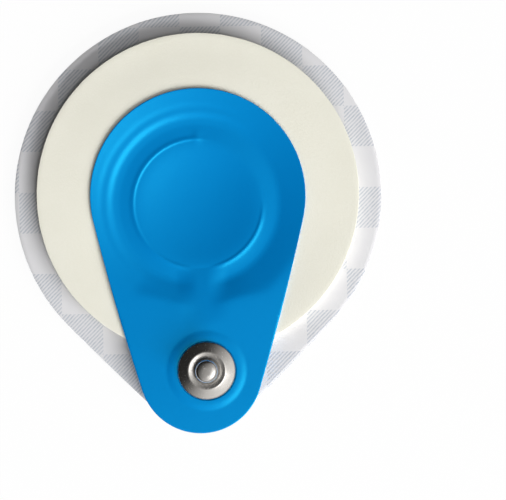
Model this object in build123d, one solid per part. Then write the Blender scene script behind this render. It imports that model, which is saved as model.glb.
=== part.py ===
from build123d import *

import os
from math import atan2, degrees, hypot, radians, sin, sqrt

# Wet-gel ECG electrode with an offset snap, sealed on its release liner.
# Millimetres. The origin lies on the gel axis, on the surface that the liner's cup rests on.
# +Z points away from the skin, and the tab runs along -Y to the snap.

# Release liner: a film with a point under the tab and a shallow cup under the gel. It shows past the
# foam by its margin.
LINER_FILM = 0.2
LINER_MARGIN = 3.8
LINER_TIP_RADIUS = 11.0
LINER_POINT_HALF_ANGLE = 45.0
LINER_SIDE_RADIUS = 600.0
CUP_DEPTH = 1.0
CUP_FLOOR_RADIUS = 9.7
CUP_WALL_RUN = 2.2

# Foam pad: a disc with a window for the gel
PAD_SHIFT = 1.3
FOAM_RADIUS = 27.2
FOAM_THICKNESS = 1.6
FOAM_EDGE_ROUND = 0.4

# Gel sponge and the clearance round it in the window of the foam
SPONGE_RADIUS = 9.0
SPONGE_CLEARANCE = 0.3
SPONGE_EDGE_ROUND = 0.4

# Top label: a formed film, round over the gel and drawn out to a tab
LABEL_FILM = 0.3
LABEL_RADIUS = 18.15
TAB_DISTANCE = 28.4
TAB_RADIUS = 10.35
LABEL_SIDE_RADIUS = 240.0

# Relief that presses the label into the foam round the gel. Drops are counted from the flat tab
# down: the sagging cap, the lip round it, the seal groove and the shoulder outside the groove.
CAP_SAG = 1.05
LIP_RADIUS = 11.1
LIP_DROP = 0.35
SEAL_RADIUS = 13.0
SEAL_DROP = 0.56
SHOULDER_RADIUS = 15.9
SHOULDER_DROP = 0.19
RELIEF_RADIUS = 17.5

# Bridge that carries the label over the strip where it crosses the seal groove
BRIDGE_MARGIN = 0.35
BRIDGE_SIDE_RUN = 1.2

# Conductor strip: from the sensor to the snap, bedded in the foam under the label
STRIP_THICKNESS = 0.15
STRIP_WIDTH = 3.4
STRIP_CLEARANCE = 0.15
STRIP_SNAP_PAD_RADIUS = 4.7
STRIP_SENSOR_PAD_RADIUS = 2.6

# Sensor rivet: its face meets the gel, and its shank is set flush in the strip
SENSOR_FACE_RADIUS = 2.05
SENSOR_HEIGHT = 0.5
SENSOR_EDGE_ROUND = 0.2
SENSOR_SHANK_RADIUS = 0.8
SENSOR_POCKET_CLEARANCE = 0.1

# Snap: a drawn stud over the label, crimped to an eyelet under the strip
SNAP_DISTANCE = 28.2
SNAP_SIDE_SHIFT = 1.0
STUD_SHEET = 0.3
STUD_HEIGHT = 3.5
HEAD_RADIUS = 1.95
HEAD_TOP_ROUND = 0.65
HEAD_LAND = 0.75
HEAD_UNDERCUT = 0.45
NECK_RADIUS = 1.68
NECK_BEND = 0.15
DISH_RADIUS = 1.95
CREST_RADIUS = 3.15
CREST_HEIGHT = 0.58
CREST_BEND = 2.4
FLANGE_RADIUS = 4.93
FLANGE_LIP = 0.35
FLANGE_BEND = 0.4
EYELET_RADIUS = 4.2
EYELET_THICKNESS = 0.35
EYELET_BORE_RADIUS = 0.7
EYELET_FIT = 0.08
EYELET_POCKET_CLEARANCE = 0.4
POST_HOLE_CLEARANCE = 0.1

# Crimp bead: the label puckers up in a low ring round the flange of the stud
BEAD_GAP = 0.12
BEAD_INNER_RUN = 0.7
BEAD_OUTER_RUN = 1.3
BEAD_HEIGHT = 0.16

# How far a cutting tool reaches past the face that it starts from
TOOL_REACH = 1.0

# Levels of the stack, counted up from the surface that the cup rests on
cup_floor = LINER_FILM
liner_top = CUP_DEPTH + LINER_FILM
foam_top = liner_top + FOAM_THICKNESS
strip_bottom = foam_top - STRIP_THICKNESS
label_top = foam_top + LABEL_FILM
sensor_top = strip_bottom - CAP_SAG

# Places that several pieces share
liner_radius = FOAM_RADIUS + LINER_MARGIN
window_radius = SPONGE_RADIUS + SPONGE_CLEARANCE
post_radius = NECK_RADIUS - STUD_SHEET - EYELET_FIT
post_hole_radius = post_radius + POST_HOLE_CLEARANCE
snap_reach = hypot(SNAP_DISTANCE, SNAP_SIDE_SHIFT)
snap_turn = Rot(Z=degrees(atan2(SNAP_SIDE_SHIFT, SNAP_DISTANCE)))
snap_place = Pos(SNAP_SIDE_SHIFT, -SNAP_DISTANCE)


def drop_outline(top_y, top_radius, end_y, end_radius, side_radius):
    """Face of two circles on the Y axis, joined by slightly bowed sides that touch both."""
    length = top_y - end_y
    top_reach = side_radius - top_radius
    end_reach = side_radius - end_radius
    down = (length**2 + top_reach**2 - end_reach**2) / (2 * length)
    side_centre = Vector(-sqrt(top_reach**2 - down**2), top_y - down)
    to_top = (Vector(0, top_y) - side_centre).normalized()
    to_end = (Vector(0, end_y) - side_centre).normalized()
    top_point = side_centre + to_top * side_radius
    end_point = side_centre + to_end * side_radius
    side_middle = side_centre + (to_top + to_end).normalized() * side_radius
    side = ThreePointArc(top_point, side_middle, end_point).edge()
    other_side = mirror(side, about=Plane.YZ).edge()
    crown = ThreePointArc(top_point, (0, top_y + top_radius), other_side @ 0).edge()
    tip = ThreePointArc(end_point, (0, end_y - end_radius), other_side @ 1).edge()
    return make_face([side, tip, other_side, crown])


def section_point(radius, height):
    """Point of a section in the XZ plane."""
    return Vector(radius, 0, height)


def level_step(start, end):
    """Two equal arcs from one height to another, level at both ends."""
    middle = (start + end) / 2
    rise = TangentArc(start, middle, tangent=(1, 0, 0))
    settle = TangentArc(end, middle, tangent=(-1, 0, 0))
    return [rise.edge(), settle.edge()]


def turned(path, closing_points):
    """Solid of revolution of a path in the XZ plane, closed through the given points."""
    closing = Polyline(*closing_points)
    return revolve(make_face(path + closing.edges()), Axis.Z)


def formed_film(form, top, film):
    """Film between a form at one level and the same form lower by the film's thickness."""
    return form(top) - form(top - film)


def liner_form(level):
    """Solid under the liner's surface, with the cup sunk into it."""
    tip_distance = (liner_radius - LINER_TIP_RADIUS) / sin(radians(LINER_POINT_HALF_ANGLE))
    tip_y = PAD_SHIFT - tip_distance
    outline = drop_outline(PAD_SHIFT, liner_radius, tip_y, LINER_TIP_RADIUS, LINER_SIDE_RADIUS)
    slab = Pos(Z=-TOOL_REACH) * extrude(outline, level + TOOL_REACH)
    floor = section_point(CUP_FLOOR_RADIUS, level - CUP_DEPTH)
    rim = section_point(CUP_FLOOR_RADIUS + CUP_WALL_RUN, level)
    above_rim = section_point(rim.X, level + TOOL_REACH)
    above_axis = section_point(0, level + TOOL_REACH)
    floor_middle = section_point(0, floor.Z)
    cup = turned(level_step(floor, rim), [rim, above_rim, above_axis, floor_middle, floor])
    return slab - cup


def basin(level):
    """Room of the pressed basin in a surface at this level, with the seal groove bridged all round."""
    axis_point = section_point(0, level - CAP_SAG)
    lip = section_point(LIP_RADIUS, level - LIP_DROP)
    shoulder = section_point(SHOULDER_RADIUS, level - SHOULDER_DROP)
    edge = section_point(RELIEF_RADIUS, level)
    cap = TangentArc(axis_point, lip, tangent=(1, 0, 0)).edge()
    path = [cap] + level_step(lip, shoulder) + level_step(shoulder, edge)
    above_edge = section_point(RELIEF_RADIUS, level + TOOL_REACH)
    above_axis = section_point(0, level + TOOL_REACH)
    return turned(path, [edge, above_edge, above_axis, axis_point])


def bridge(level):
    """Block that keeps the seal groove shut over the strip, with eased sides."""
    half_width = STRIP_WIDTH / 2 + BRIDGE_MARGIN
    top_edge = section_point(half_width, level)
    foot = section_point(half_width + BRIDGE_SIDE_RUN, level - 2 * SEAL_DROP)
    top_middle = section_point(0, level)
    foot_middle = section_point(0, foot.Z)
    closing = Polyline(foot, foot_middle, top_middle, top_edge)
    half = make_face(level_step(top_edge, foot) + closing.edges())
    side = extrude(half, SHOULDER_RADIUS + TOOL_REACH, dir=(0, -1, 0))
    return snap_turn * (side + mirror(side, about=Plane.YZ))


def seal_groove(level):
    """Room of the seal groove in a surface at this level, without its bridge."""
    lip = section_point(LIP_RADIUS, level - LIP_DROP)
    floor = section_point(SEAL_RADIUS, level - SEAL_DROP)
    shoulder = section_point(SHOULDER_RADIUS, level - SHOULDER_DROP)
    inner_wall = TangentArc(floor, lip, tangent=(-1, 0, 0)).edge()
    outer_wall = TangentArc(floor, shoulder, tangent=(1, 0, 0)).edge()
    path = [inner_wall, outer_wall]
    above_shoulder = section_point(SHOULDER_RADIUS, level)
    above_lip = section_point(LIP_RADIUS, level)
    ring = turned(path, [shoulder, above_shoulder, above_lip, lip])
    return ring - bridge(level)


def relief(level):
    """All the room that the relief takes out of a surface at this level."""
    return basin(level) + seal_groove(level)


def crimp_bead(level):
    """Low ring that the label makes round the stud, above this level."""
    inner_foot = section_point(FLANGE_RADIUS + BEAD_GAP, level)
    crest = section_point(inner_foot.X + BEAD_INNER_RUN, level + BEAD_HEIGHT)
    outer_foot = section_point(crest.X + BEAD_OUTER_RUN, level)
    path = level_step(inner_foot, crest) + level_step(crest, outer_foot)
    root = level - LABEL_FILM / 2
    below = [section_point(outer_foot.X, root), section_point(inner_foot.X, root)]
    return snap_place * turned(path, [outer_foot, *below, inner_foot])


def pressed_form(level):
    """Solid under the label's pressed surface, before the stud is crimped."""
    outline = drop_outline(PAD_SHIFT, LABEL_RADIUS, -TAB_DISTANCE, TAB_RADIUS, LABEL_SIDE_RADIUS)
    return extrude(outline, level) - relief(level)


def label_form(level):
    """Solid under the label's finished surface."""
    return pressed_form(level) + crimp_bead(level)


def strip_outline(grow=0.0):
    """Strip with a round pad at each end, grown all round by a clearance."""
    sensor_pad = Circle(STRIP_SENSOR_PAD_RADIUS + grow)
    snap_pad = Pos(Y=-snap_reach) * Circle(STRIP_SNAP_PAD_RADIUS + grow)
    run = Pos(Y=-snap_reach / 2) * Rectangle(STRIP_WIDTH + 2 * grow, snap_reach)
    return snap_turn * (sensor_pad + snap_pad + run)


def make_release_liner():
    return formed_film(liner_form, liner_top, LINER_FILM)


def strip_bed(grow=0.0):
    """Film that follows the underside of the label, cut to the strip's outline."""
    return formed_film(pressed_form, foam_top, STRIP_THICKNESS) & extrude(strip_outline(grow), foam_top)


def make_foam_pad():
    disc = extrude(Circle(FOAM_RADIUS), FOAM_THICKNESS)
    disc = fillet(disc.edges().group_by(Axis.Z)[-1], min(FOAM_EDGE_ROUND, FOAM_THICKNESS))
    pad = Pos(0, PAD_SHIFT, liner_top) * disc
    pad -= Pos(Z=liner_top) * extrude(Circle(window_radius), FOAM_THICKNESS)
    pad -= relief(foam_top)
    pad -= strip_bed(STRIP_CLEARANCE)
    notch = extrude(Circle(EYELET_RADIUS + EYELET_POCKET_CLEARANCE), FOAM_THICKNESS)
    return pad - snap_place * Pos(Z=liner_top) * notch


def make_gel_sponge():
    plug = extrude(Circle(SPONGE_RADIUS), foam_top - cup_floor)
    plug = fillet(plug.edges().group_by(Axis.Z)[0], SPONGE_EDGE_ROUND)
    plug = Pos(Z=cup_floor) * plug & pressed_form(strip_bottom)
    pocket = extrude(Circle(SENSOR_FACE_RADIUS + SENSOR_POCKET_CLEARANCE), SENSOR_HEIGHT + TOOL_REACH)
    return plug - Pos(Z=sensor_top - SENSOR_HEIGHT) * pocket


def make_sensor_rivet():
    face = extrude(Circle(SENSOR_FACE_RADIUS), SENSOR_HEIGHT)
    face = fillet(face.edges().group_by(Axis.Z)[0], SENSOR_EDGE_ROUND)
    shank = extrude(Circle(SENSOR_SHANK_RADIUS), SENSOR_HEIGHT + STRIP_THICKNESS)
    return Pos(Z=sensor_top - SENSOR_HEIGHT) * (face + shank)


def make_conductor_strip():
    strip = strip_bed() - extrude(Circle(SENSOR_SHANK_RADIUS), foam_top)
    return strip - snap_place * extrude(Circle(post_hole_radius), foam_top)


def make_top_label():
    label = formed_film(label_form, label_top, LABEL_FILM)
    return label - snap_place * extrude(Circle(post_hole_radius), label_top + TOOL_REACH)


def stud_section():
    """Outside of the stud as a face across its axis, open downwards below the label."""
    land_bottom = STUD_HEIGHT - HEAD_TOP_ROUND - HEAD_LAND
    corners = [
        (0, STUD_HEIGHT),
        (HEAD_RADIUS, STUD_HEIGHT),
        (HEAD_RADIUS, land_bottom),
        (NECK_RADIUS, land_bottom - HEAD_UNDERCUT),
        (NECK_RADIUS, STUD_SHEET),
        (DISH_RADIUS, STUD_SHEET),
        (CREST_RADIUS, CREST_HEIGHT),
        (FLANGE_RADIUS, FLANGE_LIP),
        (FLANGE_RADIUS, -TOOL_REACH),
        (0, -TOOL_REACH),
    ]
    rounds = [HEAD_TOP_ROUND, NECK_BEND, NECK_BEND, NECK_BEND, NECK_BEND, CREST_BEND, FLANGE_BEND, 0]
    half_outline = FilletPolyline(*corners, radius=rounds)
    half = make_face(half_outline.edges() + Line(corners[-1], corners[0]).edges())
    return half + mirror(half, about=Plane.YZ)


def make_snap_stud():
    outside = stud_section()
    wall = outside - offset(outside, -STUD_SHEET)
    quarter = Pos(FLANGE_RADIUS / 2, STUD_HEIGHT / 2) * Rectangle(FLANGE_RADIUS, STUD_HEIGHT)
    section = Rot(X=90) * (wall & quarter)
    return snap_place * Pos(Z=label_top) * revolve(section, Axis.Z)


def make_snap_eyelet():
    land_bottom = STUD_HEIGHT - HEAD_TOP_ROUND - HEAD_LAND
    flange = extrude(Circle(EYELET_RADIUS), EYELET_THICKNESS)
    flange = fillet(flange.edges().group_by(Axis.Z)[0], EYELET_THICKNESS / 2)
    flange_bottom = strip_bottom - EYELET_THICKNESS
    inner_head = HEAD_RADIUS - STUD_SHEET - EYELET_FIT
    upset_top = label_top + STUD_HEIGHT - STUD_SHEET - EYELET_FIT
    upset_bottom = label_top + land_bottom
    shoulder = upset_bottom - HEAD_UNDERCUT
    corners = [
        (0, strip_bottom),
        (post_radius, strip_bottom),
        (post_radius, shoulder),
        (inner_head, upset_bottom),
        (inner_head, upset_top),
        (0, upset_top),
        (0, strip_bottom),
    ]
    post = revolve(Rot(X=90) * make_face(Polyline(*corners).edges()), Axis.Z)
    upset_round = HEAD_TOP_ROUND - STUD_SHEET
    post = fillet(post.edges().group_by(Axis.Z)[-1], upset_round)
    bore = extrude(Circle(EYELET_BORE_RADIUS), upset_bottom - flange_bottom)
    eyelet = Pos(Z=flange_bottom) * flange + post - Pos(Z=flange_bottom) * bore
    return snap_place * eyelet


NODES = {
    "release_liner": make_release_liner,
    "foam_pad": make_foam_pad,
    "gel_sponge": make_gel_sponge,
    "sensor_rivet": make_sensor_rivet,
    "conductor_strip": make_conductor_strip,
    "top_label": make_top_label,
    "snap_stud": make_snap_stud,
    "snap_eyelet": make_snap_eyelet,
}

os.makedirs("parts", exist_ok=True)
for node, make in NODES.items():
    export_step(make(), f"parts/{node}.step")
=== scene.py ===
# Looks of the wet-gel ECG electrode with an offset snap, on its release liner
from math import asin, atan2, cos, exp, hypot, pi, radians, sin, sqrt, tan

import bmesh
import bpy
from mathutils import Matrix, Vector, noise


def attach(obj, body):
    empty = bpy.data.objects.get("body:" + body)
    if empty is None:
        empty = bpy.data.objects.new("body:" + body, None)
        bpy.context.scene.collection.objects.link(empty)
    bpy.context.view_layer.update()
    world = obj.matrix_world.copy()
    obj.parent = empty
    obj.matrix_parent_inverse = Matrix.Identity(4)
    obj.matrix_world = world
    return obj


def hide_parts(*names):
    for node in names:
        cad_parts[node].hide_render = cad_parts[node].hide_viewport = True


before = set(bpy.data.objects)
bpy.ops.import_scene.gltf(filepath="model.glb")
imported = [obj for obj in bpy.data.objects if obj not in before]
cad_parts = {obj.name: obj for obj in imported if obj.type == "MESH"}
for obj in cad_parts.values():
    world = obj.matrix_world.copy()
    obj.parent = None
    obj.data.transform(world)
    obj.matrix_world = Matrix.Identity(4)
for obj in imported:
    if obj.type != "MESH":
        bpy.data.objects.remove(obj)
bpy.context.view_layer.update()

# Sizes are in millimetres, as in the drawing, and become metres when a mesh is made
MM = 0.001
BODY = "root"

# Stack of the films and the foam
LINER_FILM = 0.2
CUP_DEPTH = 1.0
FOAM_THICKNESS = 1.6
LABEL_FILM = 0.3
STRIP_THICKNESS = 0.15
cup_floor = LINER_FILM
liner_top = CUP_DEPTH + LINER_FILM
foam_top = liner_top + FOAM_THICKNESS
strip_bottom = foam_top - STRIP_THICKNESS
label_top = foam_top + LABEL_FILM

# Outlines
PAD_SHIFT = 1.3
FOAM_RADIUS = 27.2
LINER_MARGIN = 3.8
LINER_TIP_RADIUS = 11.0
LINER_POINT_HALF_ANGLE = 45.0
LINER_SIDE_RADIUS = 600.0
LABEL_RADIUS = 18.15
TAB_DISTANCE = 28.4
TAB_RADIUS = 10.35
LABEL_SIDE_RADIUS = 400.0
liner_radius = FOAM_RADIUS + LINER_MARGIN
pad_centre = Vector((0, PAD_SHIFT, 0))

# Cup of the liner
CUP_FLOOR_RADIUS = 9.7
CUP_WALL_RUN = 2.2
cup_rim_radius = CUP_FLOOR_RADIUS + CUP_WALL_RUN

# Relief of the label, as drops below its flat tab: the dished cap, the lip with its fine ridge, the seal
# groove, the cone outside it with a ripple on one side, the bridge over the strip and a small fold. The
# start and end of a gap or a side are cosines of the angle from its heading, or from the way to the tab.
CAP_SAG = 1.08
DISH_POWER = 12
LIP_RADIUS = 10.9
LIP_DROP = 0.54
RIDGE_RADIUS = 10.95
RIDGE_INNER_WIDTH = 0.27
RIDGE_OUTER_WIDTH = 0.46
RIDGE_HEIGHT = 0.06
RIDGE_GAP_HEADING = radians(40)
RIDGE_GAP_START = 0.5
RIDGE_GAP_END = 0.85
SEAL_RADIUS = 13.1
SEAL_DROP = 0.56
PINCH_DROP = 0.05
CONE_BLEND = 1.2
CONE_SLOPE = 0.126
CONE_TAB_SLOPE = 0.18
RIPPLE_RADIUS = 14.9
RIPPLE_LENGTH = 2.2
RIPPLE_HEIGHT = 0.02
RIPPLE_END_RADIUS = 18.0
RIPPLE_HEADING = radians(150)
RIPPLE_SIDE_START = -0.3
RIPPLE_SIDE_END = 0.4
TAB_SIDE_START = 0.78
TAB_SIDE_END = 0.96
TAB_RUN_OUT = 0.1
STRIP_WIDTH = 3.4
STRIP_CLEARANCE = 0.15
BRIDGE_HALF_WIDTH = 0.7
BRIDGE_SIDE_RUN = 3.8
BRIDGE_END_RADIUS = 20.5
BRIDGE_CURVE = 1.3
SHOULDER_RADIUS = 15.9
PUCKER_RADIUS = 11.2
PUCKER_LENGTH = 1.1
PUCKER_WIDTH = 0.7
PUCKER_HEIGHT = 0.04

# Snap
SNAP_DISTANCE = 28.2
SNAP_SIDE_SHIFT = 1.0
STUD_SHEET = 0.3
STUD_HEIGHT = 3.5
HEAD_RADIUS = 1.95
HEAD_TOP_ROUND = 0.65
HEAD_CROWN = 0.15
CROWN_RADIUS = 0.9
CROWN_DROP = 0.01
CROWN_BEND = 6.0
HEAD_LAND = 0.75
HEAD_UNDERCUT = 0.45
NECK_RADIUS = 1.68
NECK_BEND = 0.15
DISH_RADIUS = 1.95
DISH_HEIGHT = 0.68
CREST_RADIUS = 3.15
CREST_HEIGHT = 0.83
CREST_BEND = 0.9
FLANGE_RADIUS = 4.93
FLANGE_LIP = 0.35
FLANGE_BEND = 0.4
POST_HOLE_RADIUS = 1.4
EYELET_POCKET_RADIUS = 4.6
BEAD_GAP = 0.02
BEAD_INNER_RUN = 0.12
BEAD_OUTER_RUN = 1.85
BEAD_HEIGHT = 0.1
BEAD_FALL_CURVE = 1.5
bead_foot = FLANGE_RADIUS + BEAD_GAP
bead_crest = bead_foot + BEAD_INNER_RUN
bead_end = bead_crest + BEAD_OUTER_RUN
snap_centre = Vector((SNAP_SIDE_SHIFT, -SNAP_DISTANCE, 0))
strip_direction = snap_centre.to_2d().normalized()
gel_axis = Vector((0, 0, 0))

# Sponge and sensor under the cap
SPONGE_RADIUS = 9.0
SPONGE_CLEARANCE = 0.3
SENSOR_HEIGHT = 0.5
SENSOR_POCKET_RADIUS = 2.15
SENSOR_CLEARANCE = 0.06
window_radius = SPONGE_RADIUS + SPONGE_CLEARANCE
sensor_bottom = strip_bottom - CAP_SAG - SENSOR_HEIGHT - SENSOR_CLEARANCE


# Shared forms


def mix(low, high, share):
    return low + (high - low) * share


def ease(value, start, end):
    """Share from 0 at start to 1 at end, level at both."""
    share = min(max((value - start) / (end - start), 0.0), 1.0)
    return share * share * (3 - 2 * share)


def strip_aside(point):
    """Distance from the line of the strip, or a large one on the far side of the gel."""
    flat = point.to_2d()
    if flat.dot(strip_direction) < 0:
        return LABEL_RADIUS
    return abs(flat.cross(strip_direction))


def facing(heading):
    """Level unit vector with this heading."""
    return Vector((cos(heading), sin(heading)))


def cone_rise(radius, slope):
    """Rise of the label outside the seal, with a soft foot."""
    run = radius - SEAL_RADIUS
    if run < CONE_BLEND:
        return slope * run**2 / (2 * CONE_BLEND)
    return slope * (run - CONE_BLEND / 2)


def ripple_rise(point, radius):
    """A ripple in the rising part of the label, on one side only."""
    toward_side = point.to_2d().dot(facing(RIPPLE_HEADING)) / radius
    height = RIPPLE_HEIGHT * ease(toward_side, RIPPLE_SIDE_START, RIPPLE_SIDE_END)
    height *= ease(radius, SEAL_RADIUS, RIPPLE_RADIUS)
    height *= 1 - ease(radius, RIPPLE_RADIUS, RIPPLE_END_RADIUS)
    return height * sin(2 * pi * (radius - RIPPLE_RADIUS) / RIPPLE_LENGTH)


def ridge_rise(point, radius):
    """A fine ridge along the lip, which fades out on one side."""
    width = RIDGE_INNER_WIDTH if radius < RIDGE_RADIUS else RIDGE_OUTER_WIDTH
    toward_gap = point.to_2d().dot(facing(RIDGE_GAP_HEADING)) / RIDGE_RADIUS
    height = RIDGE_HEIGHT * (1 - ease(toward_gap, RIDGE_GAP_START, RIDGE_GAP_END))
    return height * exp(-(((radius - RIDGE_RADIUS) / width) ** 2))


def cap_drop(radius):
    """Drop of the dished cap inside the lip."""
    share = radius / LIP_RADIUS
    dish = (DISH_POWER / 2 * share**2 - share**DISH_POWER) / (DISH_POWER / 2 - 1)
    return mix(CAP_SAG, LIP_DROP, dish)


def groove_drop(point, radius):
    """Drop from the lip through the seal groove and up the cone, which runs out softly on the tab."""
    tabward = -point.y / radius
    seal = SEAL_DROP + PINCH_DROP * ease(tabward, 0, TAB_SIDE_END)
    if radius < SEAL_RADIUS:
        return mix(LIP_DROP, seal, ease(radius, LIP_RADIUS, SEAL_RADIUS))
    slope = mix(CONE_SLOPE, CONE_TAB_SLOPE, ease(tabward, TAB_SIDE_START, TAB_SIDE_END))
    drop = seal - cone_rise(radius, slope) - ripple_rise(point, radius)
    run_out = (drop + hypot(drop, TAB_RUN_OUT)) / 2
    return mix(drop, run_out, ease(tabward, 0, TAB_SIDE_START))


def bridge_drop(radius):
    """Drop of the bridge, which rises from the lip to the flat tab."""
    ahead = max(0.0, (BRIDGE_END_RADIUS - radius) / (BRIDGE_END_RADIUS - LIP_RADIUS))
    return LIP_DROP * ahead**BRIDGE_CURVE


def relief_drop(point):
    """How far the label lies below its flat tab, where it is pressed in round the gel."""
    radius = point.to_2d().length
    if radius < LIP_RADIUS:
        pressed = cap_drop(radius)
        level = pressed
    else:
        pressed = groove_drop(point, radius)
        level = bridge_drop(radius)
    aside = ease(strip_aside(point), BRIDGE_HALF_WIDTH, BRIDGE_HALF_WIDTH + BRIDGE_SIDE_RUN)
    return mix(level, pressed - ridge_rise(point, radius), aside)


def pucker_rise(point):
    """A small fold across the lip, on the far side from the tab."""
    along = (point.y - PUCKER_RADIUS) / PUCKER_LENGTH
    across = point.x / PUCKER_WIDTH
    return PUCKER_HEIGHT * exp(-(along**2) - across**2)


def bead_rise(point):
    """How far the label puckers up round the flange of the stud."""
    radius = (point - snap_centre).to_2d().length
    if radius < bead_crest:
        return BEAD_HEIGHT * ease(radius, bead_foot, bead_crest)
    share = min((radius - bead_crest) / BEAD_OUTER_RUN, 1.0)
    return BEAD_HEIGHT * (1 - ease(share**BEAD_FALL_CURVE, 0, 1))


def spread(start, end, count):
    """Evenly spaced values after start, up to end."""
    return [mix(start, end, step / count) for step in range(1, count + 1)]


def line(start, end, count):
    """Points from start up to, but without, end."""
    return [start.lerp(end, step / count) for step in range(count)]


def arc(centre, radius, start, end, count):
    """Points on a circle from one angle up to, but without, another."""
    angles = [mix(start, end, step / count) for step in range(count)]
    return [centre + facing(angle).to_3d() * radius for angle in angles]


def circle_loop(centre, loop, radius):
    """Circle whose points lie on the rays from a centre to a loop."""
    return [centre + (point - centre).normalized() * radius for point in loop]


def ray_rings(centre, radii, loops):
    """Rings round a centre: circles along the rays to the first loop, then the loops themselves."""
    return [circle_loop(centre, loops[0], radius) for radius in radii] + loops


def between(first, last, count):
    """Loops that spread evenly after one loop, up to another."""
    shares = spread(0, 1, count)
    return [[a.lerp(b, share) for a, b in zip(first, last)] for share in shares]


def raised(points, height):
    """The same points at the heights that a function gives."""
    return [Vector((point.x, point.y, height(point))) for point in points]


class Skin:
    """A mesh made of rings of vertices."""

    # Points that lie closer than this become one
    WELD = 0.001

    def __init__(self):
        self.mesh = bmesh.new()

    def ring(self, points):
        return [self.mesh.verts.new(point * MM) for point in points]

    def bands(self, rings):
        """Quads between closed rings of equal length, one after another."""
        made = [self.ring(points) for points in rings]
        for inner, outer in zip(made, made[1:]):
            for index in range(len(inner)):
                self.mesh.faces.new((inner[index - 1], outer[index - 1], outer[index], inner[index]))
        return made

    def cap(self, centre, ring):
        """Triangles from a closed ring to its middle."""
        hub = self.mesh.verts.new(centre * MM)
        for index in range(len(ring)):
            self.mesh.faces.new((hub, ring[index - 1], ring[index]))

    def piece(self, name, slot, *nodes):
        """The finished object, riding on the part and standing for the nodes that it replaces."""
        bmesh.ops.remove_doubles(self.mesh, verts=self.mesh.verts, dist=self.WELD * MM)
        bmesh.ops.recalc_face_normals(self.mesh, faces=self.mesh.faces)
        data = bpy.data.meshes.new(name)
        self.mesh.to_mesh(data)
        self.mesh.free()
        data.shade_smooth()
        made = bpy.data.objects.new(name, data)
        bpy.context.scene.collection.objects.link(made)
        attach(made, BODY)
        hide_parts(*nodes)
        return made


CUT_EDGE_SEGMENTS = 2
CUT_EDGE_ANGLE = radians(50)


def thicken(piece, film, rim_round):
    """Gives a sheet its thickness below, with a softened cut edge."""
    solid = piece.modifiers.new("film", "SOLIDIFY")
    solid.thickness = film * MM
    solid.offset = -1
    solid.use_even_offset = True
    edge = piece.modifiers.new("cut edge", "BEVEL")
    edge.width = rim_round * MM
    edge.segments = CUT_EDGE_SEGMENTS
    edge.limit_method = "ANGLE"
    edge.angle_limit = CUT_EDGE_ANGLE


# Label

LABEL_SPLIT_Y = -19.3
LABEL_RIM_ROUND = 0.07
TAB_DROOP = 0.08
TAB_DROOP_Y = -31.0
LABEL_ROUND_POINTS = 240
LABEL_SIDE_POINTS = 24
LABEL_SPLIT_POINTS = 64
TAB_SIDE_POINTS = 32
TAB_ROUND_POINTS = 112
RIDGE_REACH = 3
CAP_RINGS = 16
RIDGE_RINGS = 28
SEAL_RINGS = 24
LABEL_EDGE_RINGS = 18
FLANGE_RINGS = 6
BEAD_INNER_RINGS = 8
BEAD_OUTER_RINGS = 20
TAB_EDGE_RINGS = 14


def label_height(point):
    """Height of the label's upper face, with the free end of the tab hanging a little."""
    free_end = TAB_DROOP_Y + TAB_DISTANCE + TAB_RADIUS
    hang = max(0.0, (TAB_DROOP_Y - point.y) / free_end) ** 2
    return label_top - relief_drop(point) + pucker_rise(point) + bead_rise(point) - TAB_DROOP * hang


def drop_side(top_radius, end_y, end_radius, side_radius):
    """Centre of the bowed right side of a drop, and the headings at which it meets the two circles."""
    length = PAD_SHIFT - end_y
    top_reach = side_radius - top_radius
    end_reach = side_radius - end_radius
    down = (length**2 + top_reach**2 - end_reach**2) / (2 * length)
    aside = sqrt(top_reach**2 - down**2)
    centre = Vector((-aside, PAD_SHIFT - down, 0))
    return centre, atan2(down, aside), atan2(down - length, aside)


def flipped(points):
    """The mirror image of some points in the part's middle plane."""
    return [Vector((-point.x, point.y, point.z)) for point in points]


def label_loops():
    """Edge loops of the label's round part and of its tab, which share a line of points."""
    centre, top, end = drop_side(LABEL_RADIUS, -TAB_DISTANCE, TAB_RADIUS, LABEL_SIDE_RADIUS)
    split = asin((LABEL_SPLIT_Y - centre.y) / LABEL_SIDE_RADIUS)
    tab_centre = Vector((0, -TAB_DISTANCE, 0))
    round_side = arc(centre, LABEL_SIDE_RADIUS, split, top, LABEL_SIDE_POINTS)
    round_back = arc(centre, LABEL_SIDE_RADIUS, top, split, LABEL_SIDE_POINTS)
    tab_side = arc(centre, LABEL_SIDE_RADIUS, split, end, TAB_SIDE_POINTS)
    tab_back = arc(centre, LABEL_SIDE_RADIUS, end, split, TAB_SIDE_POINTS)
    right = round_side[0]
    left = flipped([right])[0]
    round_loop = round_side + arc(pad_centre, LABEL_RADIUS, top, pi - top, LABEL_ROUND_POINTS)
    round_loop += flipped(round_back) + line(left, right, LABEL_SPLIT_POINTS)
    tab_loop = flipped(tab_side)
    tab_loop += arc(tab_centre, TAB_RADIUS, pi - end, 2 * pi + end, TAB_ROUND_POINTS)
    tab_loop += tab_back + line(right, left, LABEL_SPLIT_POINTS)
    return round_loop, tab_loop


def round_part(skin, loop):
    """The label over the gel, with rings close together on the ridge."""
    ridge_start = RIDGE_RADIUS - RIDGE_REACH * RIDGE_INNER_WIDTH
    ridge_end = RIDGE_RADIUS + RIDGE_REACH * RIDGE_OUTER_WIDTH
    radii = spread(0, ridge_start, CAP_RINGS) + spread(ridge_start, ridge_end, RIDGE_RINGS)
    radii += spread(ridge_end, SHOULDER_RADIUS, SEAL_RINGS)
    shoulder = circle_loop(gel_axis, loop, SHOULDER_RADIUS)
    rings = ray_rings(gel_axis, radii, between(shoulder, loop, LABEL_EDGE_RINGS))
    made = skin.bands([raised(points, label_height) for points in rings])
    skin.cap(Vector((0, 0, label_height(gel_axis))), made[0])


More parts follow.
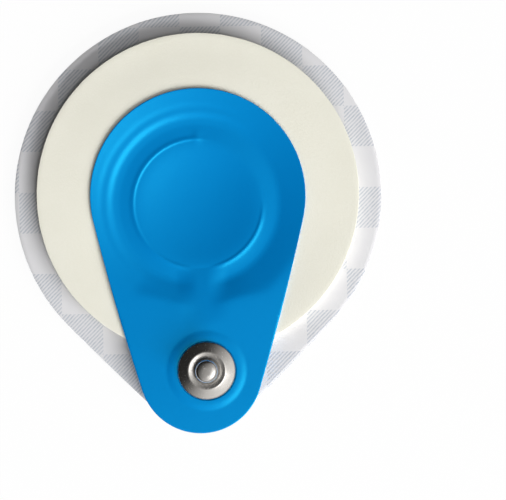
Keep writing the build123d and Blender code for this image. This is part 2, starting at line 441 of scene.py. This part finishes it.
def tab_part(skin, loop):
    """The label round the snap, with a hole for the post."""
    radii = [POST_HOLE_RADIUS] + spread(POST_HOLE_RADIUS, bead_foot, FLANGE_RINGS)
    radii += spread(bead_foot, bead_crest, BEAD_INNER_RINGS)
    radii += spread(bead_crest, bead_end, BEAD_OUTER_RINGS)
    bead_edge = circle_loop(snap_centre, loop, bead_end)
    rings = ray_rings(snap_centre, radii, between(bead_edge, loop, TAB_EDGE_RINGS))
    skin.bands([raised(points, label_height) for points in rings])


def make_label():
    round_loop, tab_loop = label_loops()
    skin = Skin()
    round_part(skin, round_loop)
    tab_part(skin, tab_loop)
    label = skin.piece("label", "label_film", "top_label")
    thicken(label, LABEL_FILM, LABEL_RIM_ROUND)
    return label


# Foam pad

FOAM_ROLL_WIDTH = 0.05
FOAM_ROLL_DEPTH = 0.12
FOAM_FOOT_INSET = 0.05
FOAM_ROLL_STEPS = 12
FOAM_LUMP = 0.035
FOAM_LUMP_SIZE = 7.0
FOAM_PUFF_RUN = 8.0
FOAM_SHIFT = 0.3
FOAM_ROUND_POINTS = 288
FOAM_BITE_POINTS = 32
FOAM_WINDOW_RINGS = 4
FOAM_SEAL_RINGS = 6
FOAM_SHOULDER_RINGS = 8
FOAM_FACE_RINGS = 16
foam_centre = pad_centre + Vector((0, FOAM_SHIFT, 0))


def foam_height(point):
    """Height of the foam's upper face: pressed in with the label, bedded for the strip, uneven outside."""
    bed_half = STRIP_WIDTH / 2 + STRIP_CLEARANCE
    bed = STRIP_THICKNESS * (1 - ease(strip_aside(point), bed_half, bed_half + STRIP_CLEARANCE))
    lump = FOAM_LUMP * noise.noise(point / FOAM_LUMP_SIZE)
    lump *= ease(point.to_2d().length, LABEL_RADIUS, FOAM_RADIUS - FOAM_ROLL_WIDTH)
    pad_radius = (point - pad_centre).to_2d().length
    held = pad_centre + (point - pad_centre) * min(1.0, LABEL_RADIUS / pad_radius)
    puff = 1 - ease(pad_radius, LABEL_RADIUS, LABEL_RADIUS + FOAM_PUFF_RUN)
    return foam_top - relief_drop(held) * puff - bed - max(0.0, lump)


def foam_loop(inset):
    """Edge of the foam moved inwards, with the bite that clears the eyelet under the tab."""
    radius = FOAM_RADIUS - inset
    bite = EYELET_POCKET_RADIUS + inset
    away = snap_centre - foam_centre
    along = (radius**2 - bite**2 + away.length_squared) / (2 * away.length)
    half_bite = asin(sqrt(radius**2 - along**2) / radius)
    heading = atan2(away.y, away.x)
    edge = arc(foam_centre, radius, heading + half_bite, heading + 2 * pi - half_bite, FOAM_ROUND_POINTS)
    corner = foam_centre + facing(heading - half_bite).to_3d() * radius - snap_centre
    other = foam_centre + facing(heading + half_bite).to_3d() * radius - snap_centre
    start = atan2(corner.y, corner.x)
    end = atan2(other.y, other.x)
    return edge + arc(snap_centre, bite, start, end, FOAM_BITE_POINTS)


def make_foam():
    skin = Skin()
    crown = foam_loop(FOAM_ROLL_WIDTH)
    radii = [window_radius] + spread(window_radius, LIP_RADIUS, FOAM_WINDOW_RINGS)
    radii += spread(LIP_RADIUS, SEAL_RADIUS, FOAM_SEAL_RINGS)
    radii += spread(SEAL_RADIUS, SHOULDER_RADIUS, FOAM_SHOULDER_RINGS)
    shoulder = circle_loop(gel_axis, crown, SHOULDER_RADIUS)
    rings = ray_rings(gel_axis, radii, between(shoulder, crown, FOAM_FACE_RINGS))
    rings = [raised(points, foam_height) for points in rings]
    for turn in spread(0, pi / 2, FOAM_ROLL_STEPS):
        points = foam_loop(FOAM_ROLL_WIDTH * (1 - sin(turn)))
        sink = FOAM_ROLL_DEPTH * (1 - cos(turn))
        rings.append(raised(points, lambda point: foam_height(point) - sink))
    rings.append(raised(foam_loop(FOAM_FOOT_INSET), lambda point: liner_top))
    rings.append(raised(circle_loop(gel_axis, crown, window_radius), lambda point: liner_top))
    rings.append(rings[0])
    skin.bands(rings)
    foam = skin.piece("foam", "foam", "foam_pad")
    return foam


# Release liner

LINER_RIM_ROUND = 0.05
LINER_WAVE = 0.14
LINER_WAVE_SIZE = 16.0
LINER_ROUND_POINTS = 240
LINER_SIDE_POINTS = 40
LINER_TIP_POINTS = 48
CUP_FLOOR_RINGS = 6
CUP_WALL_RINGS = 10
LINER_LAND_RINGS = 28


def liner_height(point):
    """Height of the liner's upper face: the cup, the flat land and a slightly wavy free margin."""
    rise = CUP_DEPTH * ease(point.to_2d().length, CUP_FLOOR_RADIUS, cup_rim_radius)
    pad_radius = (point - pad_centre).to_2d().length
    free = ease(pad_radius, FOAM_RADIUS, liner_radius)
    wave = LINER_WAVE * noise.noise(point / LINER_WAVE_SIZE)
    return cup_floor + rise + free * wave


def liner_loop():
    """Edge of the liner: a circle and a rounded point, joined by slightly bowed sides."""
    tip_distance = (liner_radius - LINER_TIP_RADIUS) / sin(radians(LINER_POINT_HALF_ANGLE))
    tip_y = PAD_SHIFT - tip_distance
    tip_centre = Vector((0, tip_y, 0))
    centre, top, end = drop_side(liner_radius, tip_y, LINER_TIP_RADIUS, LINER_SIDE_RADIUS)
    loop = arc(pad_centre, liner_radius, top, pi - top, LINER_ROUND_POINTS)
    loop += flipped(arc(centre, LINER_SIDE_RADIUS, top, end, LINER_SIDE_POINTS))
    loop += arc(tip_centre, LINER_TIP_RADIUS, pi - end, 2 * pi + end, LINER_TIP_POINTS)
    return loop + arc(centre, LINER_SIDE_RADIUS, end, top, LINER_SIDE_POINTS)


def make_liner():
    loop = liner_loop()
    skin = Skin()
    radii = spread(0, CUP_FLOOR_RADIUS, CUP_FLOOR_RINGS)
    radii += spread(CUP_FLOOR_RADIUS, cup_rim_radius, CUP_WALL_RINGS)
    rim = circle_loop(gel_axis, loop, cup_rim_radius)
    rings = ray_rings(gel_axis, radii, between(rim, loop, LINER_LAND_RINGS))
    made = skin.bands([raised(points, liner_height) for points in rings])
    skin.cap(Vector((0, 0, cup_floor)), made[0])
    liner = skin.piece("liner", "liner_film", "release_liner")
    thicken(liner, LINER_FILM, LINER_RIM_ROUND)
    return liner


# Gel sponge

SPONGE_EDGE_ROUND = 0.4
SPONGE_TOP_ROUND = 0.25
SPONGE_LUMP = 0.05
SPONGE_LUMP_SIZE = 1.6
SPONGE_POINTS = 160
SPONGE_FLOOR_RINGS = 8
SPONGE_EDGE_RINGS = 6
SPONGE_SIDE_RINGS = 6
SPONGE_TOP_EDGE_RINGS = 4
SPONGE_TOP_RINGS = 12


def lumpy(point):
    """A point of the sponge's skin, moved a little inwards."""
    inward = max(0.0, noise.noise(point / SPONGE_LUMP_SIZE)) * SPONGE_LUMP
    shrink = 1 - inward / SPONGE_RADIUS
    return Vector((point.x * shrink, point.y * shrink, point.z))


def sponge_top(point):
    """Height of the sponge's upper face, which follows the cap at the level of the strip's underside."""
    return strip_bottom - relief_drop(point)


def sponge_rings():
    """Rings of the sponge from the middle of its floor, up its side and in to the pocket of the sensor."""
    circle = arc(gel_axis, 1, 0, 2 * pi, SPONGE_POINTS)
    rings = []

    def add(radius, height):
        rings.append(raised([point * radius for point in circle], height))

    for radius in spread(0, SPONGE_RADIUS - SPONGE_EDGE_ROUND, SPONGE_FLOOR_RINGS):
        add(radius, lambda point: cup_floor)
    for turn in spread(0, pi / 2, SPONGE_EDGE_RINGS):
        edge_height = cup_floor + SPONGE_EDGE_ROUND * (1 - cos(turn))
        add(SPONGE_RADIUS - SPONGE_EDGE_ROUND * (1 - sin(turn)), lambda point: edge_height)
    shoulder = sponge_top(circle[0] * SPONGE_RADIUS) - SPONGE_TOP_ROUND
    for side_height in spread(rings[-1][0].z, shoulder, SPONGE_SIDE_RINGS):
        add(SPONGE_RADIUS, lambda point: side_height)
    for turn in spread(0, pi / 2, SPONGE_TOP_EDGE_RINGS):
        sink = SPONGE_TOP_ROUND * (1 - sin(turn))
        add(SPONGE_RADIUS - SPONGE_TOP_ROUND * (1 - cos(turn)), lambda point: sponge_top(point) - sink)
    for radius in spread(SPONGE_RADIUS - SPONGE_TOP_ROUND, SENSOR_POCKET_RADIUS, SPONGE_TOP_RINGS):
        add(radius, sponge_top)
    add(SENSOR_POCKET_RADIUS, lambda point: sensor_bottom)
    return rings


def make_sponge():
    skin = Skin()
    made = skin.bands([[lumpy(point) for point in points] for points in sponge_rings()])
    skin.cap(Vector((0, 0, cup_floor)), made[0])
    skin.cap(Vector((0, 0, sensor_bottom)), made[-1])
    sponge = skin.piece("sponge", "gel", "gel_sponge")
    return sponge


# Snap stud

STUD_POINTS = 144
BEND_STEPS = 8


def rounded(corners):
    """Points of a section through (radius, height, bend) corners, each bend an arc."""
    points = []
    for index, (x, z, bend) in enumerate(corners):
        here = Vector((x, z))
        if bend == 0:
            points.append(here)
            continue
        back = (Vector(corners[index - 1][:2]) - here).normalized()
        ahead = (Vector(corners[index + 1][:2]) - here).normalized()
        half = back.angle(ahead) / 2
        reach = bend / tan(half)
        centre = here + (back + ahead).normalized() * (bend / sin(half))
        first = here + back * reach - centre
        last = here + ahead * reach - centre
        sweep = first.angle_signed(last)
        for step in range(BEND_STEPS + 1):
            angle = -sweep * step / BEND_STEPS
            turned_x = first.x * cos(angle) - first.y * sin(angle)
            turned_z = first.x * sin(angle) + first.y * cos(angle)
            points.append(centre + Vector((turned_x, turned_z)))
    return points


def stud_section():
    """Section of the drawn sheet: down its outside from the crown to the flange, and back up its inside."""
    land_bottom = STUD_HEIGHT - HEAD_TOP_ROUND - HEAD_LAND
    inner_flange = FLANGE_RADIUS - STUD_SHEET
    inner_head = HEAD_RADIUS - STUD_SHEET
    inner_neck = NECK_RADIUS - STUD_SHEET
    outside = [
        (0, STUD_HEIGHT, 0),
        (CROWN_RADIUS, STUD_HEIGHT - CROWN_DROP, CROWN_BEND),
        (HEAD_RADIUS, STUD_HEIGHT - HEAD_CROWN, HEAD_TOP_ROUND),
        (HEAD_RADIUS, land_bottom, NECK_BEND),
        (NECK_RADIUS, land_bottom - HEAD_UNDERCUT, NECK_BEND),
        (NECK_RADIUS, DISH_HEIGHT, NECK_BEND),
        (DISH_RADIUS, DISH_HEIGHT, NECK_BEND),
        (CREST_RADIUS, CREST_HEIGHT, CREST_BEND),
        (FLANGE_RADIUS, FLANGE_LIP, FLANGE_BEND),
        (FLANGE_RADIUS, 0, 0),
    ]
    inside = [
        (inner_flange, 0, 0),
        (inner_flange, FLANGE_LIP - STUD_SHEET, 0),
        (CREST_RADIUS, CREST_HEIGHT - STUD_SHEET, 0),
        (DISH_RADIUS, DISH_HEIGHT - STUD_SHEET, 0),
        (inner_neck, DISH_HEIGHT - STUD_SHEET, 0),
        (inner_neck, land_bottom - HEAD_UNDERCUT, 0),
        (inner_head, land_bottom, 0),
        (inner_head, STUD_HEIGHT - HEAD_TOP_ROUND, 0),
        (inner_neck, STUD_HEIGHT - STUD_SHEET - HEAD_CROWN, 0),
        (0, STUD_HEIGHT - STUD_SHEET - HEAD_CROWN, 0),
    ]
    return rounded(outside + inside)


def make_stud():
    section = stud_section()
    skin = Skin()
    circle = arc(gel_axis, 1, 0, 2 * pi, STUD_POINTS)
    base = snap_centre + Vector((0, 0, label_top))
    rings = [[base + p * spot.x + Vector((0, 0, spot.y)) for p in circle] for spot in section[1:-1]]
    made = skin.bands(rings)
    skin.cap(base + Vector((0, 0, section[0].y)), made[0])
    skin.cap(base + Vector((0, 0, section[-1].y)), made[-1])
    return skin.piece("stud", "nickel", "snap_stud")


# Materials


class Graph:
    """A node tree with short ways to add nodes."""

    def __init__(self, tree):
        self.tree = tree

    def add(self, kind):
        return self.tree.nodes.new(kind)

    def link(self, output, socket):
        self.tree.links.new(output, socket)

    def math(self, operation, *values):
        """Result of an operation on outputs and numbers."""
        node = self.add("ShaderNodeMath")
        node.operation = operation
        for socket, value in zip(node.inputs, values):
            if isinstance(value, (int, float)):
                socket.default_value = value
            else:
                self.link(value, socket)
        return node.outputs["Value"]

    def ramp(self, value, low, high, start, end):
        """A value drawn from one range to another."""
        node = self.add("ShaderNodeMapRange")
        self.link(value, node.inputs["Value"])
        node.inputs["From Min"].default_value = low
        node.inputs["From Max"].default_value = high
        node.inputs["To Min"].default_value = start
        node.inputs["To Max"].default_value = end
        return node.outputs["Result"]

    def axes(self, place):
        """The coordinates of a place, under the names X, Y and Z."""
        node = self.add("ShaderNodeSeparateXYZ")
        self.link(place, node.inputs["Vector"])
        return node.outputs


class Paint(Graph):
    """A node material with one shader, whose patterns are sized in millimetres."""

    # Numbers of the colour sockets on a mix node
    FIRST_COLOUR = 6
    SECOND_COLOUR = 7
    MIXED_COLOUR = 2

    def __init__(self, name):
        self.material = bpy.data.materials.new(name)
        self.material.use_nodes = True
        super().__init__(self.material.node_tree)
        self.shader = self.tree.nodes["Principled BSDF"]
        coordinates = self.add("ShaderNodeTexCoord")
        scale = self.add("ShaderNodeVectorMath")
        scale.operation = "SCALE"
        scale.inputs["Scale"].default_value = 1 / MM
        self.link(coordinates.outputs["Object"], scale.inputs[0])
        self.place = scale.outputs["Vector"]

    def set(self, **values):
        """Constant values on the shader's own sockets."""
        for name, value in values.items():
            self.shader.inputs[name.replace("_", " ")].default_value = value

    def noise(self, size, detail=2.0):
        """Cloudy noise whose lumps have about this size."""
        node = self.add("ShaderNodeTexNoise")
        node.inputs["Scale"].default_value = 1 / size
        node.inputs["Detail"].default_value = detail
        self.link(self.place, node.inputs["Vector"])
        return node.outputs["Fac"]

    def cells(self, size):
        """Distance from the middle of cells of about this size."""
        node = self.add("ShaderNodeTexVoronoi")
        node.inputs["Scale"].default_value = 1 / size
        self.link(self.place, node.inputs["Vector"])
        return node.outputs["Distance"]

    def blend(self, share, first, second):
        """A colour between two, by a share."""
        node = self.add("ShaderNodeMix")
        node.data_type = "RGBA"
        self.link(share, node.inputs["Factor"])
        node.inputs[self.FIRST_COLOUR].default_value = (*first, 1)
        node.inputs[self.SECOND_COLOUR].default_value = (*second, 1)
        return node.outputs[self.MIXED_COLOUR]

    def colour(self, output):
        self.link(output, self.shader.inputs["Base Color"])

    def roughness(self, output):
        self.link(output, self.shader.inputs["Roughness"])

    def bump(self, height, depth):
        """Relief of this depth in millimetres, on top of the one that was given before."""
        node = self.add("ShaderNodeBump")
        node.inputs["Strength"].default_value = 1
        node.inputs["Distance"].default_value = depth * MM
        self.link(height, node.inputs["Height"])
        before = self.shader.inputs["Normal"].links
        if before:
            self.link(before[0].from_socket, node.inputs["Normal"])
        self.link(node.outputs["Normal"], self.shader.inputs["Normal"])


LABEL_BLUE = (0.0, 0.202, 0.575)
LABEL_DEEP = (0.0, 0.194, 0.55)
LABEL_GLOSS_TINT = (0.04, 0.85, 1.0, 1)


def label_film():
    """Blue film with a soft gloss and a faint unevenness."""
    paint = Paint("label_film")
    paint.colour(paint.blend(paint.noise(size=9.0), LABEL_DEEP, LABEL_BLUE))
    paint.set(Roughness=0.22, IOR=1.8, Specular_IOR_Level=1.0, Specular_Tint=LABEL_GLOSS_TINT)
    paint.bump(paint.noise(size=0.8, detail=0.0), depth=0.002)
    paint.bump(paint.noise(size=5.0, detail=1.0), depth=0.012)
    return paint.material


FOAM_CREAM = (0.725, 0.71, 0.61)
FOAM_PALE = (0.77, 0.76, 0.675)
FOAM_CLOUD_SHARE = 0.7


def foam_skin():
    """Cream foam with fine closed cells."""
    paint = Paint("foam")
    cells = paint.cells(size=0.32)
    clouds = paint.noise(size=6.0, detail=3.0)
    speckle = paint.ramp(cells, low=0.0, high=0.6, start=0.3, end=0.0)
    tint = paint.math("MULTIPLY_ADD", clouds, FOAM_CLOUD_SHARE, speckle)
    paint.colour(paint.blend(tint, FOAM_CREAM, FOAM_PALE))
    paint.set(Roughness=0.8, IOR=1.4)
    paint.bump(cells, depth=0.014)
    paint.bump(paint.noise(size=0.9), depth=0.008)
    return paint.material


LINER_MILK = (0.66, 0.656, 0.67)
LINER_INK = (0.42, 0.45, 0.50)
CHECK_SIZE = 6.9
CHECK_X = 28.4
CHECK_Y = -1.1
HATCH_PITCH = 0.48
HATCH_WIDTH = 0.44
HATCH_BLUR = 0.1
HATCH_WOBBLE = 0.25


def check_number(paint, coordinate, middle):
    """Number of the square along one axis, counted from the one with this middle."""
    start = paint.math("ADD", coordinate, CHECK_SIZE / 2 - middle)
    return paint.math("FLOOR", paint.math("DIVIDE", start, CHECK_SIZE))


def hatch(paint, axes):
    """Share of ink in slanted strokes, whose width and blur are shares of their pitch."""
    slant = paint.math("SUBTRACT", axes["X"], axes["Y"])
    across = paint.math("DIVIDE", slant, HATCH_PITCH * sqrt(2))
    wobbled = paint.math("MULTIPLY_ADD", paint.noise(size=0.8), HATCH_WOBBLE, across)
    from_middle = paint.math("PINGPONG", wobbled, 0.5)
    half = HATCH_WIDTH / 2
    return paint.ramp(from_middle, low=half - HATCH_BLUR, high=half + HATCH_BLUR, start=1.0, end=0.0)


def liner_film():
    """Milky film with a worn print of hatched squares, set like the dark squares of a chess board."""
    paint = Paint("liner_film")
    axes = paint.axes(paint.place)
    column = check_number(paint, axes["X"], CHECK_X)
    row = check_number(paint, axes["Y"], CHECK_Y)
    odd = paint.math("FLOORED_MODULO", paint.math("ADD", column, row), 2.0)
    printed = paint.math("MULTIPLY", paint.math("SUBTRACT", 1.0, odd), hatch(paint, axes))
    worn = paint.ramp(paint.noise(size=0.5, detail=3.0), low=0.3, high=0.6, start=0.55, end=1.0)
    paint.colour(paint.blend(paint.math("MULTIPLY", printed, worn), LINER_MILK, LINER_INK))
    paint.roughness(paint.ramp(paint.noise(size=3.0), low=0.3, high=0.7, start=0.32, end=0.42))
    paint.bump(paint.noise(size=8.0), depth=0.05)
    return paint.material


NICKEL_DULL = (0.66, 0.63, 0.59)
NICKEL_BRIGHT = (0.78, 0.75, 0.71)


def nickel():
    """Plated metal with a fine grain."""
    paint = Paint("nickel")
    paint.set(Metallic=1.0)
    paint.colour(paint.blend(paint.noise(size=1.2, detail=4.0), NICKEL_DULL, NICKEL_BRIGHT))
    paint.roughness(paint.ramp(paint.noise(size=0.25, detail=4.0), low=0.3, high=0.7, start=0.18, end=0.28))
    paint.bump(paint.noise(size=0.12, detail=3.0), depth=0.0007)
    return paint.material


CARBON_BLACK = (0.02, 0.02, 0.022)
CARBON_GREY = (0.045, 0.045, 0.05)


def carbon_film():
    """Dull black film."""
    paint = Paint("carbon_film")
    paint.colour(paint.blend(paint.noise(size=0.4, detail=4.0), CARBON_BLACK, CARBON_GREY))
    paint.set(Roughness=0.55)
    paint.bump(paint.noise(size=0.2, detail=3.0), depth=0.01)
    return paint.material


SILVER_DARK = (0.42, 0.40, 0.38)
SILVER_LIGHT = (0.58, 0.56, 0.53)


def silver_chloride():
    """Dull coated silver."""
    paint = Paint("silver_chloride")
    paint.colour(paint.blend(paint.noise(size=0.5, detail=4.0), SILVER_DARK, SILVER_LIGHT))
    paint.set(Metallic=0.8, Roughness=0.5)
    paint.bump(paint.noise(size=0.15, detail=3.0), depth=0.01)
    return paint.material


GEL_DEEP = (0.70, 0.77, 0.76)
GEL_PALE = (0.86, 0.90, 0.89)


def wet_sponge():
    """Open-celled sponge, wet with gel."""
    paint = Paint("gel")
    cells = paint.cells(size=0.6)
    paint.colour(paint.blend(paint.ramp(cells, low=0.0, high=0.7, start=0.0, end=1.0), GEL_DEEP, GEL_PALE))
    paint.set(Roughness=0.25, IOR=1.35)
    paint.bump(cells, depth=0.12)
    return paint.material


SMOOTH_ANGLE = radians(35)


def dress(piece, material):
    piece.data.materials.clear()
    piece.data.materials.append(material)


def dress_node(name, material):
    """A drawn solid that stays, with smooth shading over its gentle bends."""
    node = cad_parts[name]
    node.data.shade_smooth()
    node.data.set_sharp_from_angle(angle=SMOOTH_ANGLE)
    dress(node, material)


# Stage: floor, sky and lamps in metres and watts, and the camera in millimetres

FLOOR_SIZE = 30.0
FLOOR_GREY = 0.8
FLOOR_WHITE_SHARE = 0.95
FLOOR_ROUGHNESS = 0.9
SKY_HEADING = radians(-35)
SKY_START = -0.24
SKY_END = 0.4
SKY_CURVE = 1.2
SKY_DIM = 0.02
SKY_BRIGHT = 0.85
SKY_HORIZON = 0.15
SKY_LOW = 0.25
SKY_HIGH = 0.7
KEY_HEADING = radians(-52)
KEY_ELEVATION = radians(22)
KEY_DISTANCE = 2.5
KEY_LENGTH = 3.0
KEY_WIDTH = 1.0
KEY_WATTS = 151.0
PANEL_HEADING = radians(-38)
PANEL_ELEVATION = radians(70)
PANEL_DISTANCE = 1.2
PANEL_LENGTH = 0.42
PANEL_WIDTH = 0.34
PANEL_WATTS = 1.1
LOOK_AT = Vector((9.15, -8.0, 3.0))
CAMERA_DISTANCE = 450.0
CAMERA_ROLL = radians(-1.0)
CAMERA_NEAREST = 10.0
FIELD_WIDTH = 85.3
SENSOR_WIDTH = 36.0


def seen_share(graph):
    """1 for rays from the camera and for what mirrors and clear things show, else 0."""
    path = graph.add("ShaderNodeLightPath").outputs
    shown = graph.math("MAXIMUM", path["Is Glossy Ray"], path["Is Transmission Ray"])
    return graph.math("MAXIMUM", path["Is Camera Ray"], shown)


def floor_paint():
    """Grey for the light on the part, and nearly white to the eye."""
    material = bpy.data.materials.new("floor")
    material.use_nodes = True
    graph = Graph(material.node_tree)
    shader = graph.tree.nodes["Principled BSDF"]
    shader.inputs["Base Color"].default_value = (FLOOR_GREY, FLOOR_GREY, FLOOR_GREY, 1)
    shader.inputs["Roughness"].default_value = FLOOR_ROUGHNESS
    glow = graph.add("ShaderNodeEmission")
    blend = graph.add("ShaderNodeMixShader")
    graph.link(graph.math("MULTIPLY", seen_share(graph), FLOOR_WHITE_SHARE), blend.inputs["Fac"])
    graph.link(shader.outputs["BSDF"], blend.inputs[1])
    graph.link(glow.outputs["Emission"], blend.inputs[2])
    graph.link(blend.outputs["Shader"], graph.tree.nodes["Material Output"].inputs["Surface"])
    return material


def make_floor():
    data = bpy.data.meshes.new("floor")
    half = FLOOR_SIZE / 2
    corners = [(-half, -half, 0), (half, -half, 0), (half, half, 0), (-half, half, 0)]
    data.from_pydata(corners, [], [(0, 1, 2, 3)])
    data.materials.append(floor_paint())
    floor = bpy.data.objects.new("floor", data)
    bpy.context.scene.collection.objects.link(floor)


def toward(heading, elevation):
    """Unit vector towards a lamp."""
    level = facing(heading) * cos(elevation)
    return Vector((level.x, level.y, sin(elevation)))


def make_sky():
    """A dim room that brightens towards the side of the lamps and overhead."""
    world = bpy.data.worlds.new("sky")
    world.use_nodes = True
    bpy.context.scene.world = world
    graph = Graph(world.node_tree)
    direction = graph.add("ShaderNodeTexCoord").outputs["Generated"]
    side = graph.add("ShaderNodeVectorMath")
    side.operation = "DOT_PRODUCT"
    side.inputs[1].default_value = toward(SKY_HEADING, 0)
    graph.link(direction, side.inputs[0])
    share = graph.ramp(side.outputs["Value"], low=SKY_START, high=SKY_END, start=0.0, end=1.0)
    curved = graph.math("POWER", share, SKY_CURVE)
    level = graph.ramp(curved, low=0.0, high=1.0, start=SKY_DIM, end=SKY_BRIGHT)
    upward = graph.axes(direction)["Z"]
    height = graph.ramp(upward, low=SKY_LOW, high=SKY_HIGH, start=SKY_HORIZON, end=1.0)
    graph.link(graph.math("MULTIPLY", level, height), graph.tree.nodes["Background"].inputs["Color"])


def make_lamp(name, direction, distance, length, width, watts, mirrored):
    """A soft panel that faces the part, its length level, and shows in glossy faces or not."""
    lamp = bpy.data.lights.new(name, "AREA")
    lamp.shape = "RECTANGLE"
    lamp.size = length
    lamp.size_y = width
    lamp.energy = watts
    holder = bpy.data.objects.new(name, lamp)
    holder.location = direction * distance
    holder.rotation_euler = (-direction).to_track_quat("-Z", "Y").to_euler()
    holder.visible_camera = False
    holder.visible_glossy = mirrored
    bpy.context.scene.collection.objects.link(holder)


def make_camera():
    lens = bpy.data.cameras.new("camera")
    lens.type = "PERSP"
    lens.sensor_fit = "HORIZONTAL"
    lens.sensor_width = SENSOR_WIDTH
    lens.lens = SENSOR_WIDTH * CAMERA_DISTANCE / FIELD_WIDTH
    lens.clip_start = CAMERA_NEAREST * MM
    camera = bpy.data.objects.new("camera", lens)
    camera.location = (LOOK_AT + Vector((0, 0, CAMERA_DISTANCE))) * MM
    camera.rotation_euler = (0, 0, CAMERA_ROLL)
    bpy.context.scene.collection.objects.link(camera)
    bpy.context.scene.camera = camera


# Putting it together

metal = nickel()
dress(make_label(), label_film())
dress(make_foam(), foam_skin())
dress(make_liner(), liner_film())
dress(make_sponge(), wet_sponge())
dress(make_stud(), metal)
dress_node("snap_eyelet", metal)
dress_node("sensor_rivet", silver_chloride())
dress_node("conductor_strip", carbon_film())
make_floor()
make_sky()
key_side = toward(KEY_HEADING, KEY_ELEVATION)
panel_side = toward(PANEL_HEADING, PANEL_ELEVATION)
make_lamp("key", key_side, KEY_DISTANCE, KEY_LENGTH, KEY_WIDTH, KEY_WATTS, mirrored=False)
make_lamp("panel", panel_side, PANEL_DISTANCE, PANEL_LENGTH, PANEL_WIDTH, PANEL_WATTS, mirrored=True)
make_camera()
bpy.context.scene.view_settings.view_transform = "Standard"
